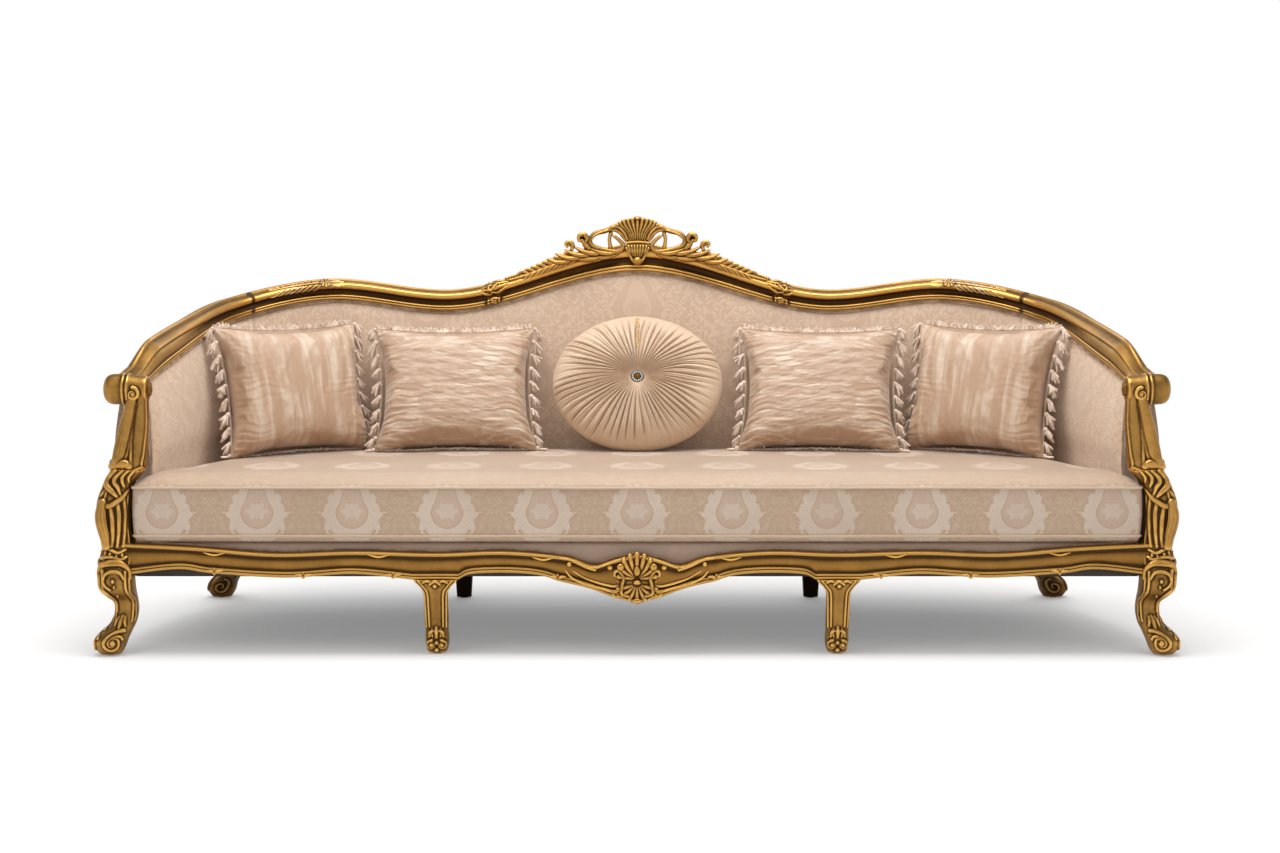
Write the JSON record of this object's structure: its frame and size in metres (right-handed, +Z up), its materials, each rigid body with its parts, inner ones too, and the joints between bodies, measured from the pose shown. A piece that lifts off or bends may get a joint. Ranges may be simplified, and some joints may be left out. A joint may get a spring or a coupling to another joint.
{
  "type": "cabriole sofa",
  "caption": "Carved, gilded cabriole sofa with damask upholstery, a loose seat cushion, fringed throw pillows and a round pleated pillow.",
  "frame": {"origin": "on the floor, at the middle of the sofa's outer box", "axes": "+X along the sofa to the sitter's left as seen from the front, +Y to the back, +Z up"},
  "size_m": [2.706, 0.9009, 1.095],
  "materials": {
    "gilded_wood": "carved, antique gold leaf",
    "dark_wood": "dark stain",
    "frame_wood": "bare beech",
    "damask": "woven damask, satin sheen",
    "outside_fabric": "woven, satin sheen",
    "pillow_satin": "striped satin",
    "deck_fabric": "woven",
    "webbing": "jute",
    "cover_cloth": "black cambric",
    "braid": "woven gimp braid",
    "glide_steel": "nickel-plated",
    "screw_steel": "zinc-plated",
    "button": "faceted, gold centre"
  },
  "bodies": {
    "frame": {"apron_shell": "gilded_wood", "arm_handhold_left": "gilded_wood", "arm_handhold_right": "gilded_wood", "arm_post_left": "gilded_wood", "arm_post_right": "gilded_wood", "arm_rail_left": "gilded_wood", "arm_rail_right": "gilded_wood", "arm_stuffing_rails": "frame_wood", "arm_uprights": "frame_wood", "back_stuffing_rail": "frame_wood", "back_uprights": "frame_wood", "corner_block_screws": "screw_steel", "corner_blocks": "frame_wood", "crest_rail_center": "gilded_wood", "crest_rail_left": "gilded_wood", "crest_rail_right": "gilded_wood", "crest_shell": "gilded_wood", "crest_spray_left": "gilded_wood", "crest_spray_right": "gilded_wood", "cross_rails": "frame_wood", "dust_cover": "cover_cloth", "foot_glides": "glide_steel", "front_apron": "gilded_wood", "front_leg_left": "gilded_wood", "front_leg_right": "gilded_wood", "front_middle_leg_left": "gilded_wood", "front_middle_leg_right": "gilded_wood", "gimp_braid": "braid", "handhold_eyes": "gilded_wood", "inner_front_rail": "frame_wood", "inside_arm_left": "damask", "inside_arm_right": "damask", "inside_back": "damask", "outside_arm_left": "outside_fabric", "outside_arm_right": "outside_fabric", "outside_back": "outside_fabric", "rail_collar_left": "gilded_wood", "rail_collar_right": "gilded_wood", "rail_dowels": "frame_wood", "rail_rosette_left": "gilded_wood", "rail_rosette_right": "gilded_wood", "rear_leg_left": "gilded_wood", "rear_leg_right": "gilded_wood", "rear_middle_leg_left": "dark_wood", "rear_middle_leg_right": "dark_wood", "rear_seat_rail": "frame_wood", "seat_deck": "deck_fabric", "seat_webbing": "webbing", "side_apron_left": "gilded_wood", "side_apron_right": "gilded_wood", "side_seat_rail_left": "frame_wood", "side_seat_rail_right": "frame_wood"},
    "seat_cushion": {"seat_cushion": "damask"},
    "pillow_inner_left": {"pillow_inner_left": "pillow_satin"},
    "pillow_inner_right": {"pillow_inner_right": "pillow_satin"},
    "pillow_outer_left": {"pillow_outer_left": "pillow_satin"},
    "pillow_outer_right": {"pillow_outer_right": "pillow_satin"},
    "round_pillow": {"round_pillow": "damask", "round_pillow_button": "button"}
  },
  "joints": [
    {"name": "seat_cushion_slide", "type": "slide", "parent": "frame", "child": "seat_cushion", "axis": [0, -1, 0], "range_m": [0, 0.4]},
    {"name": "pillow_inner_left_lift", "type": "slide", "parent": "seat_cushion", "child": "pillow_inner_left", "axis": [0, 0, 1], "range_m": [0, 0.22]},
    {"name": "pillow_inner_right_lift", "type": "slide", "parent": "seat_cushion", "child": "pillow_inner_right", "axis": [0, 0, 1], "range_m": [0, 0.22]},
    {"name": "pillow_outer_left_lift", "type": "slide", "parent": "seat_cushion", "child": "pillow_outer_left", "axis": [0, 0, 1], "range_m": [0, 0.22]},
    {"name": "pillow_outer_right_lift", "type": "slide", "parent": "seat_cushion", "child": "pillow_outer_right", "axis": [0, 0, 1], "range_m": [0, 0.22]},
    {"name": "round_pillow_lift", "type": "slide", "parent": "seat_cushion", "child": "round_pillow", "axis": [0, 0, 1], "range_m": [0, 0.22]}
  ]
}
